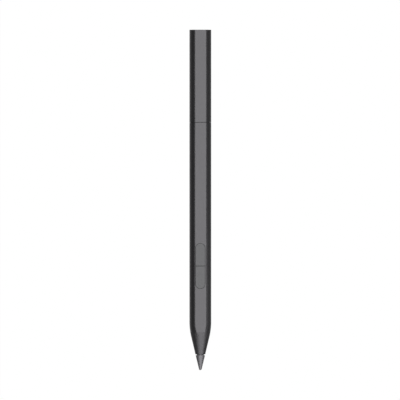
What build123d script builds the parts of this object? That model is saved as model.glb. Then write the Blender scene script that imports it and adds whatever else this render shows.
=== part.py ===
"""Rechargeable stylus pen with two keys, a pressure-sensing nib and a sliding cap over its charging port.

Every piece is drawn in pen coordinates, in millimetres: Y is the station along the axis, counted from the
nib's tip, Z points out of the flat, X goes across, and the axis is X = Z = 0. place() then lays the pen on
its round back, flat up, with the middle of its length over the origin.
"""
from build123d import *
import os
from math import asin, atan2, ceil, cos, hypot, pi, radians, sin, sqrt, tan

# Outside of the pen
PEN_LENGTH = 148.5
BARREL_DIAMETER = 9.5
FLAT_WIDTH = 4.8
FLAT_EDGE_RADIUS = 1.5
BARREL_WALL = 0.7
CAP_LENGTH = 40.4
CAP_SEAM_GAP = 0.05
SEAM_CHAMFER = 0.1
END_CHAMFER = 0.12
NOSE_MOUTH_DIAMETER = 4.3
NOSE_MOUTH_CHAMFER = 0.2
NOSE_HALF_ANGLE = 13.3
NOSE_SEAM_SETBACK = 1.2
SHOULDER_RADIUS = 28.0

# Nib and its holder
NIB_LENGTH = 6.5
NIB_BASE_DIAMETER = 4.1
NIB_TIP_RADIUS = 0.62
NIB_BASE_CHAMFER = 0.12
NIB_COLLAR_DIAMETER = 3.1
NIB_COLLAR_LENGTH = 2.0
NIB_STEM_DIAMETER = 1.6
NIB_STEM_LENGTH = 6.4
NIB_TRAVEL = 0.2
NIB_STAND_OFF = 0.15
HOLDER_DIAMETER = 2.5
HOLDER_FLANGE_MARGIN = 0.3
HOLDER_FLANGE_THICKNESS = 0.8
PUSH_ROD_DIAMETER = 1.4

# Nose inside and pressure sensor
BUSH_DIAMETER = 4.0
BUSH_LENGTH = 3.0
BUSH_DEPTH = 3.55
TILT_RING_DIAMETER = 5.1
TILT_RING_WALL = 0.6
TILT_RING_LENGTH = 2.8
HOUSING_WALL = 0.5
HOUSING_FRONT_WALL = 0.8
SPRING_LENGTH = 3.6
SPRING_MARGIN = 0.2
SPRING_WIRE = 0.3
SPRING_WIRE_SIDES = 6
SPRING_TURNS = 3
SENSOR_CAP_WALL = 0.4
SENSOR_CAP_HEIGHT = 1.4
SENSOR_PAD_DIAMETER = 2.2
SENSOR_PAD_THICKNESS = 0.6
SENSOR_THICKNESS = 1.2
NOSE_SPIGOT_LENGTH = 5.0
NOSE_SPIGOT_WALL = 0.45

# Keys and switches
KEYS_MIDDLE_STATION = 45.45
KEYS_LENGTH = 19.7
KEY_WIDTH = 4.1
KEY_GAP = 0.12
KEY_DIVIDER = 0.18
KEY_RECESS = 0.04
KEY_EDGE_CHAMFER = 0.1
KEY_FLANGE_THICKNESS = 0.75
KEY_FLANGE_OVERHANG = 0.8
KEY_NUB_DIAMETER = 1.8
KEY_NUB_HEIGHT = 0.1
KEY_TRAVEL = 0.25
SWITCH_LENGTH = 2.6
SWITCH_WIDTH = 3.0
SWITCH_HEIGHT = 0.6
PLUNGER_DIAMETER = 1.3
PLUNGER_ENGAGEMENT = 0.2

# Chassis, board, battery and magnets
CHASSIS_WALL = 0.5
SCREW_BLOCK_MARGIN = 1.9
CHASSIS_REAR_WALL = 1.5
CHASSIS_WINDOW_LENGTH = 10.0
CHASSIS_WINDOW_SPACING = 14.0
CHASSIS_WINDOW_HEIGHT = 2.4
BOARD_LENGTH = 43.0
BOARD_THICKNESS = 0.8
BOARD_CORNER = 0.6
BOARD_SETBACK = 0.3
SCREW_DIAMETER = 1.2
SCREW_HEAD_DIAMETER = 1.9
SCREW_HEAD_HEIGHT = 0.5
SCREW_LENGTH = 2.6
CONTROLLER_SIZE = 3.6
CONTROLLER_HEIGHT = 0.7
POWER_CHIP_SIZE = 3.0
POWER_CHIP_HEIGHT = 0.65
ANTENNA_WIDTH = 3.2
ANTENNA_LENGTH = 1.6
ANTENNA_HEIGHT = 1.0
CHIP_SPACING = 0.4
BATTERY_RIM = 0.3
TAB_WIDTH = 1.2
TAB_THICKNESS = 0.12
TAB_SPACING = 2.6
TAB_LAP = 2.0
TAB_ROOM = 1.5
CONNECTOR_LENGTH = 3.5
CONNECTOR_WIDTH = 1.2
CONNECTOR_HEIGHT = 1.5
CONNECTOR_WALL = 0.2
FLEX_THICKNESS = 0.15
FLEX_HEIGHT = 1.3
FLEX_BEND_RADIUS = 2.0
FLEX_LAP = 3.0
SENSOR_FLEX_WIDTH = 2.0
SENSOR_FLEX_LAP = 1.4
MAGNET_WIDTH = 3.0
MAGNET_THICKNESS = 1.0
MAGNET_PITCH_LIMIT = 12.0
MAGNET_GAP = 2.4
MAGNET_LID_WEB = 0.4

# Tail sleeve, charging port and cap slide
SLEEVE_SPIGOT_LENGTH = 5.0
SLEEVE_WALL = 0.6
CAP_TRAVEL = 12.5
PORT_OPENING_LENGTH = 8.34
PORT_OPENING_WIDTH = 2.56
PORT_SHELL_WALL = 0.3
PORT_LID = 0.5
PORT_LID_MARGIN = 0.1
PORT_BASE_THICKNESS = 1.0
PORT_TONGUE_LENGTH = 6.69
PORT_TONGUE_THICKNESS = 0.7
PORT_TONGUE_RECESS = 0.6
PORT_BOARD_THICKNESS = 0.6
PORT_BOARD_MARGIN = 1.2
LIGHT_DIAMETER = 0.9
END_PLUG_THICKNESS = 3.0
ARM_WIDTH = 2.0
ARM_THICKNESS = 0.6
HOOK_LENGTH = 1.2
HOOK_DEPTH = 0.6
HOOK_MARGIN = 1.5
DETENT_LENGTH = 9.0
DETENT_WIDTH = 1.2
DETENT_THICKNESS = 0.15
DETENT_POCKET_DEPTH = 0.6

# Clearances
FIXED_FIT = 0.03
SLIDE_FIT = 0.06
LOOSE_FIT = 0.1
STOP_GAP = 0.05

# Heights and radii that follow from the sizes above
BARREL_RADIUS = BARREL_DIAMETER / 2
FLAT_HEIGHT = sqrt(BARREL_RADIUS**2 - (FLAT_WIDTH / 2) ** 2)
BORE_RADIUS = BARREL_RADIUS - BARREL_WALL
BORE_FLAT = FLAT_HEIGHT - BARREL_WALL
FLANGE_TOP = BORE_FLAT - LOOSE_FIT
FLANGE_BOTTOM = FLANGE_TOP - KEY_FLANGE_THICKNESS
PLUNGER_TOP = FLANGE_BOTTOM - KEY_NUB_HEIGHT
SWITCH_TOP = PLUNGER_TOP - KEY_TRAVEL - STOP_GAP
BOARD_TOP = SWITCH_TOP - SWITCH_HEIGHT
BOARD_BOTTOM = BOARD_TOP - BOARD_THICKNESS
BOARD_HALF_WIDTH = sqrt((BORE_RADIUS - LOOSE_FIT) ** 2 - BOARD_TOP**2)
CHASSIS_RADIUS = BORE_RADIUS - SLIDE_FIT
CHASSIS_FLAT = BORE_FLAT - SLIDE_FIT
TRAY_RADIUS = CHASSIS_RADIUS - CHASSIS_WALL
BATTERY_DIAMETER = CHASSIS_FLAT - MAGNET_THICKNESS - MAGNET_LID_WEB - LOOSE_FIT + TRAY_RADIUS - STOP_GAP
BATTERY_HEIGHT = BATTERY_DIAMETER / 2 + STOP_GAP - TRAY_RADIUS
HOUSING_DIAMETER = 2 * (BORE_FLAT - NOSE_SPIGOT_WALL - 2 * FIXED_FIT)
HOUSING_BORE = HOUSING_DIAMETER - 2 * HOUSING_WALL
HOLDER_FLANGE_DIAMETER = HOUSING_BORE - 2 * HOLDER_FLANGE_MARGIN
SPRING_DIAMETER = HOLDER_FLANGE_DIAMETER - 2 * SPRING_MARGIN

# Stations that follow from the sizes above, from the nib backwards
NOSE_MOUTH_STATION = NIB_LENGTH + NIB_TRAVEL + NIB_STAND_OFF
NOSE_RISE = (BARREL_DIAMETER - NOSE_MOUTH_DIAMETER) / 2
NOSE_TAPER = radians(NOSE_HALF_ANGLE)
SHOULDER_STATION = NOSE_MOUTH_STATION + NOSE_RISE / tan(NOSE_TAPER)
NOSE_SEAM = SHOULDER_STATION - NOSE_SEAM_SETBACK
NIB_STEM_START = NIB_LENGTH + NIB_COLLAR_LENGTH
NIB_STEM_END = NIB_STEM_START + NIB_STEM_LENGTH
BUSH_START = NOSE_MOUTH_STATION + BUSH_DEPTH
TILT_RING_START = BUSH_START + BUSH_LENGTH
HOUSING_START = TILT_RING_START + TILT_RING_LENGTH
FLANGE_START = HOUSING_START + HOUSING_FRONT_WALL + STOP_GAP
SPRING_START = FLANGE_START + HOLDER_FLANGE_THICKNESS
SENSOR_CAP_START = SPRING_START + SPRING_LENGTH
SENSOR_START = SENSOR_CAP_START + SENSOR_CAP_HEIGHT
SENSOR_PAD_START = SENSOR_START - SENSOR_PAD_THICKNESS
CHASSIS_START = SENSOR_START + SENSOR_THICKNESS
NOSE_SPIGOT_END = min(NOSE_SEAM + NOSE_SPIGOT_LENGTH, CHASSIS_START - STOP_GAP)
KEYS_START = KEYS_MIDDLE_STATION - KEYS_LENGTH / 2
KEYS_END = KEYS_MIDDLE_STATION + KEYS_LENGTH / 2
FRONT_KEY_STATION = KEYS_MIDDLE_STATION - KEYS_LENGTH / 4
REAR_KEY_STATION = KEYS_MIDDLE_STATION + KEYS_LENGTH / 4
BOARD_START = CHASSIS_START + BOARD_SETBACK
BOARD_END = BOARD_START + BOARD_LENGTH
ANTENNA_START = BOARD_START + SENSOR_FLEX_LAP + CHIP_SPACING
SCREW_ROOM = SCREW_HEAD_DIAMETER / 2 + CHIP_SPACING
FRONT_SCREW_STATION = ANTENNA_START + ANTENNA_LENGTH + SCREW_ROOM
REAR_SCREW_STATION = BOARD_END - TAB_LAP - SCREW_ROOM
FRONT_BLOCK_END = FRONT_SCREW_STATION + SCREW_BLOCK_MARGIN
MIDDLE_BLOCK_START = REAR_SCREW_STATION - SCREW_BLOCK_MARGIN
MIDDLE_BLOCK_END = REAR_SCREW_STATION + SCREW_BLOCK_MARGIN
FLEX_START = MIDDLE_BLOCK_START - CHIP_SPACING
CAP_SEAM = PEN_LENGTH - CAP_LENGTH
SLEEVE_START = CAP_SEAM - SLEEVE_SPIGOT_LENGTH
BATTERY_START = BOARD_END + TAB_ROOM
BATTERY_END = SLEEVE_START - CHASSIS_REAR_WALL - STOP_GAP
PORT_STATION = CAP_SEAM + CAP_TRAVEL / 2
PORT_END = PORT_STATION + PORT_OPENING_LENGTH / 2 + PORT_SHELL_WALL
HOOK_STATION = CAP_SEAM + CAP_TRAVEL + HOOK_MARGIN
HOOK_SLOT_END = HOOK_STATION + HOOK_LENGTH + CAP_TRAVEL + STOP_GAP
SLEEVE_END = HOOK_SLOT_END + HOOK_MARGIN
PLUG_START = PEN_LENGTH - END_PLUG_THICKNESS

# Charging port, which faces out of the flat with its long side along the pen
SLEEVE_RADIUS = BORE_RADIUS - SLIDE_FIT
SLEEVE_FLAT = BORE_FLAT - SLIDE_FIT
PORT_HALF_WIDTH = PORT_OPENING_WIDTH / 2 + PORT_SHELL_WALL
PORT_MOUTH = SLEEVE_FLAT - PORT_LID - STOP_GAP
PORT_BACK = -sqrt((SLEEVE_RADIUS - SLEEVE_WALL) ** 2 - PORT_HALF_WIDTH**2)
PORT_BOARD_OUTSIDE = -PORT_HALF_WIDTH - PORT_BOARD_THICKNESS
PORT_BOARD_HALF_HEIGHT = (
    sqrt((SLEEVE_RADIUS - SLEEVE_WALL) ** 2 - (PORT_BOARD_OUTSIDE - FLEX_THICKNESS) ** 2) - STOP_GAP
)
ARM_OUTSIDE = sqrt((BORE_RADIUS - LOOSE_FIT) ** 2 - (ARM_WIDTH / 2) ** 2)
ARM_INSIDE = ARM_OUTSIDE - ARM_THICKNESS
FLEX_SIDE = -(BATTERY_DIAMETER / 2 + LOOSE_FIT + FLEX_THICKNESS)
FLEX_TOP = BOARD_BOTTOM - LOOSE_FIT

BEYOND = 2 * BARREL_DIAMETER


def block(x, y, z):
    """Box between the (low, high) limits given for each axis."""
    limits = (x, y, z)
    size = [high - low for low, high in limits]
    middle = [(high + low) / 2 for low, high in limits]
    return Pos(*middle) * Box(*size)


def centred(width):
    """Limits of a stretch centred on the axis."""
    return (-width / 2, width / 2)


def slab(start, end):
    """Everything between two stations."""
    return block((-BEYOND, BEYOND), (start, end), (-BEYOND, BEYOND))


def above(height):
    """Everything higher than a level."""
    return block((-BEYOND, BEYOND), (-BEYOND, PEN_LENGTH + BEYOND), (height, height + BEYOND))


def turned(*corners):
    """Solid turned about the pen's axis from an outline of (radius, station) corners."""
    return revolve(make_face(Polyline(*corners, close=True)), Axis.Y)


def ring(inside, outside, start, end):
    """Plain turned ring between two stations, or a disc where the inside is 0."""
    return turned((inside, start), (outside, start), (outside, end), (inside, end))


def across(station):
    """Drawing plane square to the axis, with its second direction out of the flat."""
    return Plane(origin=(0, station, 0), x_dir=(-1, 0, 0), z_dir=(0, 1, 0))


def d_prism(radius, flat, start, end):
    """Round bar with one flat side, between two stations."""
    section = Circle(radius) - Pos(0, flat + radius) * Rectangle(4 * radius, 2 * radius)
    return extrude(across(start) * section, end - start)


def upright(sketch, bottom, top):
    """Sketch in plan (across, station), extruded between two heights."""
    return extrude(Pos(0, 0, bottom) * sketch, top - bottom)


def stadium(length, width, station):
    """Slot outline in plan, along the pen."""
    return Pos(0, station) * Rot(0, 0, 90) * SlotOverall(length, width)


def post(diameter, station, bottom, top, across_by=0):
    """Upright round post at a station."""
    return upright(Pos(across_by, station) * Circle(diameter / 2), bottom, top)


def pen_form():
    """The whole outside behind the nib: a turned taper and cylinder, cut flat along one side."""
    flank = FilletPolyline(
        (NOSE_MOUTH_DIAMETER / 2, NOSE_MOUTH_STATION),
        (BARREL_RADIUS, SHOULDER_STATION),
        (BARREL_RADIUS, PEN_LENGTH),
        radius=SHOULDER_RADIUS,
    )
    core = Polyline(
        (BARREL_RADIUS, PEN_LENGTH),
        (0, PEN_LENGTH),
        (0, NOSE_MOUTH_STATION),
        (NOSE_MOUTH_DIAMETER / 2, NOSE_MOUTH_STATION),
    )
    form = revolve(make_face(flank.edges() + core.edges()), Axis.Y) - above(FLAT_HEIGHT)
    flat = form.faces().sort_by(Axis.Z)[-1]
    end_edge = flat.edges().sort_by(Axis.Y)[-1]
    sides = [edge for edge in flat.edges() if edge.center() != end_edge.center()]
    return fillet(sides, FLAT_EDGE_RADIUS)


def end_edges(solid, at_rear):
    """Edges round the foremost or rearmost face of a solid."""
    faces = solid.faces().sort_by(Axis.Y)
    return faces[-1 if at_rear else 0].outer_wire().edges()


def d_bore(start, end):
    """The bore that barrel and cap share."""
    return d_prism(BORE_RADIUS, BORE_FLAT, start, end)


def barrel(form):
    """D-section tube from the nose seam to the cap seam, with one window for both keys."""
    end = CAP_SEAM - CAP_SEAM_GAP / 2
    tube = form & slab(NOSE_SEAM, end)
    tube = chamfer(end_edges(tube, at_rear=True), SEAM_CHAMFER)
    window = stadium(KEYS_LENGTH + 2 * KEY_GAP, KEY_WIDTH + 2 * KEY_GAP, KEYS_MIDDLE_STATION)
    return tube - d_bore(NOSE_SEAM, end) - upright(window, 0, BEYOND)


def cap_shell(form):
    """Upper length of the same tube, which slides off the charging port."""
    start = CAP_SEAM + CAP_SEAM_GAP / 2
    tube = form & slab(start, PEN_LENGTH)
    tube = chamfer(end_edges(tube, at_rear=False), SEAM_CHAMFER)
    tube = chamfer(end_edges(tube, at_rear=True), END_CHAMFER)
    return tube - d_bore(start, PEN_LENGTH)


def cap_end_plug():
    """Plug that closes the cap, with two arms whose hooks run in the tail sleeve's slots."""
    plug = d_prism(BORE_RADIUS - FIXED_FIT, BORE_FLAT - FIXED_FIT, PLUG_START, PEN_LENGTH - END_CHAMFER)
    for side in (-1, 1):
        inside = side * ARM_INSIDE
        arm_limits = sorted((inside, side * ARM_OUTSIDE))
        hook_limits = sorted((inside, inside - side * HOOK_DEPTH))
        plug += block(arm_limits, (HOOK_STATION, PLUG_START), centred(ARM_WIDTH))
        plug += block(hook_limits, (HOOK_STATION, HOOK_STATION + HOOK_LENGTH), centred(ARM_WIDTH))
    return plug


def nose_cone(form):
    """Moulded cone with a spigot for the barrel, bored in steps for the nib's guide and the sensor."""
    cone = form & slab(NOSE_MOUTH_STATION, NOSE_SEAM)
    cone = chamfer(end_edges(cone, at_rear=False), NOSE_MOUTH_CHAMFER)
    cone += d_prism(BORE_RADIUS - FIXED_FIT, BORE_FLAT - FIXED_FIT, NOSE_SEAM, NOSE_SPIGOT_END)
    mouth = NIB_COLLAR_DIAMETER / 2 + LOOSE_FIT
    bush = BUSH_DIAMETER / 2 + FIXED_FIT
    tilt = TILT_RING_DIAMETER / 2 + FIXED_FIT
    housing = HOUSING_DIAMETER / 2 + FIXED_FIT
    return cone - turned(
        (0, NOSE_MOUTH_STATION),
        (mouth, NOSE_MOUTH_STATION),
        (mouth, BUSH_START),
        (bush, BUSH_START),
        (bush, TILT_RING_START),
        (tilt, TILT_RING_START),
        (tilt, HOUSING_START),
        (housing, HOUSING_START),
        (housing, NOSE_SPIGOT_END),
        (0, NOSE_SPIGOT_END),
    )


def nib():
    """Replaceable cone with a ball tip, a collar that enters the nose and a stem that plugs into the holder."""
    base = NIB_BASE_DIAMETER / 2
    rise = NIB_LENGTH - NIB_TIP_RADIUS
    flank = atan2(base, rise) - asin(NIB_TIP_RADIUS / hypot(base, rise))
    half_arc = (pi / 2 - flank) / 2

    def on_tip(angle):
        """Point of the ball tip at an angle from the axis."""
        return (NIB_TIP_RADIUS * sin(angle), NIB_TIP_RADIUS * (1 - cos(angle)))

    tip = ThreePointArc((0, 0), on_tip(half_arc), on_tip(2 * half_arc))
    rest = Polyline(
        on_tip(2 * half_arc),
        (base, NIB_LENGTH),
        (NIB_COLLAR_DIAMETER / 2, NIB_LENGTH),
        (NIB_COLLAR_DIAMETER / 2, NIB_STEM_START),
        (NIB_STEM_DIAMETER / 2, NIB_STEM_START),
        (NIB_STEM_DIAMETER / 2, NIB_STEM_END),
        (0, NIB_STEM_END),
        (0, 0),
    )
    outline = make_face(tip.edges() + rest.edges())
    base_corner = outline.vertices().sort_by(Axis.X)[-1]
    return revolve(chamfer(base_corner, NIB_BASE_CHAMFER), Axis.Y)


def nib_holder():
    """Sleeve that grips the nib's stem, with a stop flange and the rod that pushes the sensor."""
    bore = NIB_STEM_DIAMETER / 2 + FIXED_FIT
    sleeve = HOLDER_DIAMETER / 2
    flange = HOLDER_FLANGE_DIAMETER / 2
    rod = PUSH_ROD_DIAMETER / 2
    floor = NIB_STEM_END + STOP_GAP
    start = NIB_STEM_START + STOP_GAP
    return turned(
        (0, floor),
        (bore, floor),
        (bore, start),
        (sleeve, start),
        (sleeve, FLANGE_START),
        (flange, FLANGE_START),
        (flange, SPRING_START),
        (rod, SPRING_START),
        (rod, SENSOR_PAD_START - STOP_GAP),
        (0, SENSOR_PAD_START - STOP_GAP),
    )


def guide_bush():
    """Slippery ring in the nose that keeps the nib holder on the axis."""
    return ring(HOLDER_DIAMETER / 2 + SLIDE_FIT, BUSH_DIAMETER / 2, BUSH_START, TILT_RING_START)


def tilt_electrode():
    """Metal ring round the holder, from whose signal the screen works out the pen's tilt."""
    outside = TILT_RING_DIAMETER / 2
    return ring(outside - TILT_RING_WALL, outside, TILT_RING_START, HOUSING_START)


def sensor_housing():
    """Cup whose front wall stops the holder's flange and whose bore takes spring and sensor."""
    outside = HOUSING_DIAMETER / 2
    hole = HOLDER_DIAMETER / 2 + LOOSE_FIT
    front = HOUSING_START + HOUSING_FRONT_WALL
    cup = ring(hole, outside, HOUSING_START, front)
    return cup + ring(HOUSING_BORE / 2, outside, front, CHASSIS_START)


def sensor_cap():
    """Spring seat over the sensor, with a hole for the push rod."""
    outside = HOUSING_BORE / 2 - FIXED_FIT
    hole = PUSH_ROD_DIAMETER / 2 + LOOSE_FIT
    seat_end = SENSOR_CAP_START + SENSOR_CAP_WALL
    seat = ring(hole, outside, SENSOR_CAP_START, seat_end)
    return seat + ring(outside - SENSOR_CAP_WALL, outside, seat_end, SENSOR_START)


def sensor_pad():
    """Soft disc that spreads the rod's push over the sensor."""
    return ring(0, SENSOR_PAD_DIAMETER / 2, SENSOR_PAD_START, SENSOR_START)


def pressure_sensor():
    """Sensing disc at the back of the housing."""
    outside = HOUSING_BORE / 2 - FIXED_FIT
    return ring(0, outside, SENSOR_START, CHASSIS_START)


def return_spring():
    """Coil of half-circle turns, each leaning back by half a pitch, between flange and sensor cap."""
    coil = (SPRING_DIAMETER - SPRING_WIRE) / 2
    start = SPRING_START + SPRING_WIRE / 2 + STOP_GAP
    climb = (SPRING_LENGTH - SPRING_WIRE - 2 * STOP_GAP) / (2 * SPRING_TURNS)
    lean = hypot(coil, climb / 2)
    turns = []
    for half in range(2 * SPRING_TURNS):
        side = 1 if half % 2 == 0 else -1
        begin = (side * coil, start + half * climb, 0)
        middle = (0, start + (half + 0.5) * climb, side * lean)
        end = (-side * coil, start + (half + 1) * climb, 0)
        turns.append(ThreePointArc(begin, middle, end))
    return sweep(Pos(coil, start, 0) * RegularPolygon(SPRING_WIRE / 2, SPRING_WIRE_SIDES), path=Wire(turns))


def key(start, end, flange_start, flange_end, nub_station):
    """One half of the stadium, flush in the window, on a flange that the barrel's wall holds in."""
    top = FLAT_HEIGHT - KEY_RECESS
    outline = stadium(KEYS_LENGTH, KEY_WIDTH, KEYS_MIDDLE_STATION)
    pad = upright(outline, FLANGE_BOTTOM, top) & slab(start, end)
    pad = chamfer(pad.faces().sort_by(Axis.Z)[-1].edges(), KEY_EDGE_CHAMFER)
    flange = d_prism(BORE_RADIUS - LOOSE_FIT, FLANGE_TOP, flange_start, flange_end) & above(FLANGE_BOTTOM)
    return pad + flange + post(KEY_NUB_DIAMETER, nub_station, PLUNGER_TOP, FLANGE_BOTTOM)


def front_key():
    """Key nearer the nib."""
    end = KEYS_MIDDLE_STATION - KEY_DIVIDER / 2
    return key(KEYS_START, end, KEYS_START - KEY_FLANGE_OVERHANG, end, FRONT_KEY_STATION)


def rear_key():
    """Key nearer the cap."""
    start = KEYS_MIDDLE_STATION + KEY_DIVIDER / 2
    return key(start, KEYS_END, start, KEYS_END + KEY_FLANGE_OVERHANG, REAR_KEY_STATION)


def switch(station):
    """Body of a small push switch on the board, with the well that its plunger sinks into."""
    body = block(
        centred(SWITCH_WIDTH),
        (station - SWITCH_LENGTH / 2, station + SWITCH_LENGTH / 2),
        (BOARD_TOP, SWITCH_TOP),
    )
    well = PLUNGER_DIAMETER + 2 * LOOSE_FIT
    well_floor = SWITCH_TOP - PLUNGER_ENGAGEMENT - KEY_TRAVEL - STOP_GAP
    return body - post(well, station, well_floor, SWITCH_TOP)


def plunger(station):
    """Switch plunger that the key's nub rests on."""
    return post(PLUNGER_DIAMETER, station, SWITCH_TOP - PLUNGER_ENGAGEMENT, PLUNGER_TOP)


def flex_channel(inner_side, start, end):
    """Room for the flex cable, from its outer face inwards."""
    outer_side = FLEX_SIDE - FLEX_THICKNESS / 2 - LOOSE_FIT
    return block((outer_side, inner_side), (start, end), (FLEX_TOP - FLEX_HEIGHT - LOOSE_FIT, BOARD_BOTTOM))


def chassis():
    """Half-round tray for board and battery, with screw blocks, side windows and a rear wall."""
    bar = d_prism(CHASSIS_RADIUS, BOARD_BOTTOM, CHASSIS_START, SLEEVE_START)
    trough = d_prism(TRAY_RADIUS, BOARD_BOTTOM, CHASSIS_START, SLEEVE_START)
    walls = slab(CHASSIS_START, FRONT_BLOCK_END)
    walls += slab(MIDDLE_BLOCK_START, MIDDLE_BLOCK_END)
    walls += slab(SLEEVE_START - CHASSIS_REAR_WALL, SLEEVE_START)
    tray = bar - (trough - walls)
    for station in (FRONT_SCREW_STATION, REAR_SCREW_STATION):
        tray -= post(SCREW_DIAMETER, station, BOARD_TOP - SCREW_LENGTH - STOP_GAP, BOARD_BOTTOM)
    tray -= flex_channel(FLEX_SIDE + FLEX_THICKNESS, MIDDLE_BLOCK_START, SLEEVE_START)
    window = Pos(0, -TRAY_RADIUS / 2) * Rectangle(CHASSIS_WINDOW_LENGTH, CHASSIS_WINDOW_HEIGHT)
    return tray - window_row(window)


def window_row(window):
    """Lightening slots through both sides of the tray, between the front and middle blocks."""
    count = int((MIDDLE_BLOCK_START - FRONT_BLOCK_END) // CHASSIS_WINDOW_SPACING)
    middle = (FRONT_BLOCK_END + MIDDLE_BLOCK_START) / 2
    row = Part()
    for number in range(count):
        station = middle + (number - (count - 1) / 2) * CHASSIS_WINDOW_SPACING
        side_view = Plane(origin=(-BEYOND, station, 0), x_dir=(0, 1, 0), z_dir=(1, 0, 0))
        row += extrude(side_view * window, 2 * BEYOND)
    return row


def main_board():
    """Circuit board on the tray's edges, under the keys, with holes for its two screws."""
    outline = Rectangle(2 * BOARD_HALF_WIDTH, BOARD_LENGTH)
    outline = chamfer(outline.vertices(), BOARD_CORNER)
    board = upright(Pos(0, (BOARD_START + BOARD_END) / 2) * outline, BOARD_BOTTOM, BOARD_TOP)
    for station in (FRONT_SCREW_STATION, REAR_SCREW_STATION):
        board -= post(SCREW_DIAMETER, station, BOARD_BOTTOM, BOARD_TOP)
    return board


def board_screws():
    """Two pan-head screws, through the board into the tray."""
    screws = []
    for station in (FRONT_SCREW_STATION, REAR_SCREW_STATION):
        shank = post(SCREW_DIAMETER - 2 * FIXED_FIT, station, BOARD_TOP - SCREW_LENGTH, BOARD_TOP)
        screws.append(shank + post(SCREW_HEAD_DIAMETER, station, BOARD_TOP, BOARD_TOP + SCREW_HEAD_HEIGHT))
    return Compound(screws)


def chip(start, width, length, height):
    """Flat package soldered to the top of the board."""
    return block(centred(width), (start, start + length), (BOARD_TOP, BOARD_TOP + height))


def antenna():
    """Ceramic antenna at the board's front end, behind the nose, which lets radio through."""
    return chip(ANTENNA_START, ANTENNA_WIDTH, ANTENNA_LENGTH, ANTENNA_HEIGHT)


def controller_chip():
    """Processor behind the front screw."""
    return chip(FRONT_SCREW_STATION + SCREW_ROOM, CONTROLLER_SIZE, CONTROLLER_SIZE, CONTROLLER_HEIGHT)


def power_chip():
    """Charging chip ahead of the rear screw."""
    start = REAR_SCREW_STATION - SCREW_ROOM - POWER_CHIP_SIZE
    return chip(start, POWER_CHIP_SIZE, POWER_CHIP_SIZE, POWER_CHIP_HEIGHT)


def board_connector():
    """Socket under the board for the port's flex cable, no deeper than the tray beside it."""
    outside = FLEX_SIDE - FLEX_THICKNESS / 2 - CONNECTOR_WALL
    tray_floor = -sqrt((TRAY_RADIUS - STOP_GAP) ** 2 - outside**2)
    return block(
        (outside, outside + CONNECTOR_WIDTH),
        (FLEX_START - CONNECTOR_LENGTH, FLEX_START),
        (max(BOARD_BOTTOM - CONNECTOR_HEIGHT, tray_floor), BOARD_BOTTOM),
    )


def flex_cable():
    """Flat cable on edge, from the socket past the battery to the port board's outer face."""
    board_side = PORT_BOARD_OUTSIDE - FLEX_THICKNESS / 2
    lap_start = PORT_STATION - PORT_OPENING_LENGTH / 2
    route = FilletPolyline(
        (FLEX_SIDE, FLEX_START),
        (FLEX_SIDE, SLEEVE_START),
        (board_side, lap_start - FLEX_LAP),
        (board_side, lap_start + FLEX_LAP),
        radius=FLEX_BEND_RADIUS,
    )
    return upright(trace(route, FLEX_THICKNESS), FLEX_TOP - FLEX_HEIGHT, FLEX_TOP)


def sensor_flex():
    """Bent strip from the sensor's back up over the front end of the board."""
    lap_top = BOARD_TOP + FLEX_THICKNESS
    width = centred(SENSOR_FLEX_WIDTH)
    riser = block(width, (CHASSIS_START, CHASSIS_START + FLEX_THICKNESS), (BOARD_BOTTOM, lap_top))
    return riser + block(width, (CHASSIS_START, BOARD_START + SENSOR_FLEX_LAP), (BOARD_TOP, lap_top))


def battery_cell():
    """Round lithium cell with a rim at each end."""
    radius = BATTERY_DIAMETER / 2
    cell = ring(0, radius, BATTERY_START, BATTERY_END)
    cell = chamfer(cell.edges().filter_by(GeomType.CIRCLE), BATTERY_RIM)
    return Pos(0, 0, BATTERY_HEIGHT) * cell


def battery_tabs():
    """Two strips from the cell's front end up over the board's rear end."""
    lap_top = BOARD_TOP + TAB_THICKNESS
    tabs = []
    for side in (-1, 1):
        middle = side * TAB_SPACING / 2
        width = (middle - TAB_WIDTH / 2, middle + TAB_WIDTH / 2)
        riser = block(width, (BATTERY_START - TAB_THICKNESS, BATTERY_START), (BATTERY_HEIGHT, lap_top))
        lap = block(width, (BOARD_END - TAB_LAP, BATTERY_START), (BOARD_TOP, lap_top))
        tabs.append(riser + lap)
    return Compound(tabs)


def magnet_bars(spare):
    """Blocks of the magnets under the flat, spread evenly over the battery, with room to spare all round."""
    room = SLEEVE_START - BATTERY_START
    count = ceil(room / MAGNET_PITCH_LIMIT)
    pitch = room / count
    half_length = (pitch - MAGNET_GAP) / 2 + spare
    bars = []
    for number in range(count):
        station = BATTERY_START + (number + 0.5) * pitch
        stretch = (station - half_length, station + half_length)
        depth = (CHASSIS_FLAT - MAGNET_THICKNESS, CHASSIS_FLAT)
        bars.append(block(centred(MAGNET_WIDTH + 2 * spare), stretch, depth))
    return bars


def magnet_carrier():
    """Lid over the battery, level with the tray's edges, with a pocket for each magnet."""
    lid = d_prism(CHASSIS_RADIUS, CHASSIS_FLAT, BATTERY_START, SLEEVE_START) & above(BOARD_BOTTOM)
    hollow = ring(0, BATTERY_DIAMETER / 2 + LOOSE_FIT, BATTERY_START, SLEEVE_START - CHASSIS_REAR_WALL)
    lid -= Pos(0, 0, BATTERY_HEIGHT) * hollow
    for pocket in magnet_bars(STOP_GAP):
        lid -= pocket
    return lid


def magnets():
    """Row of bar magnets that hold the pen's flat to a tablet's edge."""
    return Compound(magnet_bars(0))


def port_slot(margin, bottom, top):
    """Stadium of the port's opening, grown by a margin, between two heights."""
    outline = stadium(PORT_OPENING_LENGTH + 2 * margin, PORT_OPENING_WIDTH + 2 * margin, PORT_STATION)
    return upright(outline, bottom, top)


def port_shell():
    """Drawn steel cup of the charging port, open towards the flat."""
    cup = port_slot(PORT_SHELL_WALL, PORT_BACK, PORT_MOUTH)
    return cup - port_slot(0, PORT_BACK + PORT_SHELL_WALL, PORT_MOUTH)


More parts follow.
